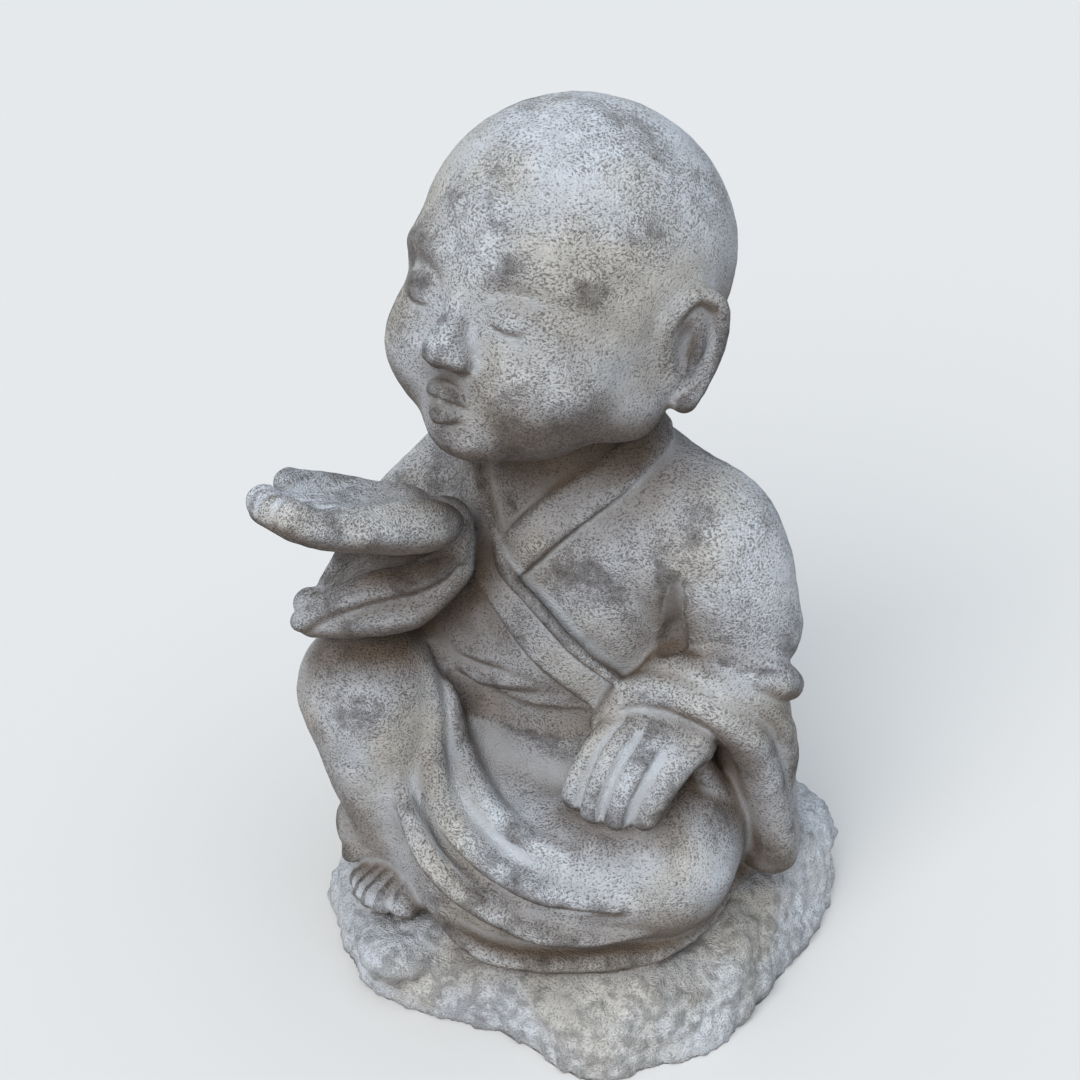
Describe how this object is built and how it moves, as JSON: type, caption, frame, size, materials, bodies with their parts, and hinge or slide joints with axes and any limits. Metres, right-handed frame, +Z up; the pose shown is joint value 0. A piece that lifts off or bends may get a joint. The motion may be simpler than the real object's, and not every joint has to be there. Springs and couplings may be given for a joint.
{
  "type": "seated figurine",
  "caption": "Cast-stone garden figurine of a seated child monk on a rock, one knee raised, blowing over an open palm.",
  "frame": {"origin": "on the rock's flat underside, under the figure's centre line", "axes": "+Z up, the figure faces -Y, its left side is +X"},
  "size_m": [0.2464, 0.2682, 0.4087],
  "materials": {
    "whitewashed_stone": "matt cast fibre-clay, dark brown base coat under a pale grey whitewash, gritty"
  },
  "bodies": {
    "root": {"figurine": "whitewashed_stone"}
  },
  "joints": []
}
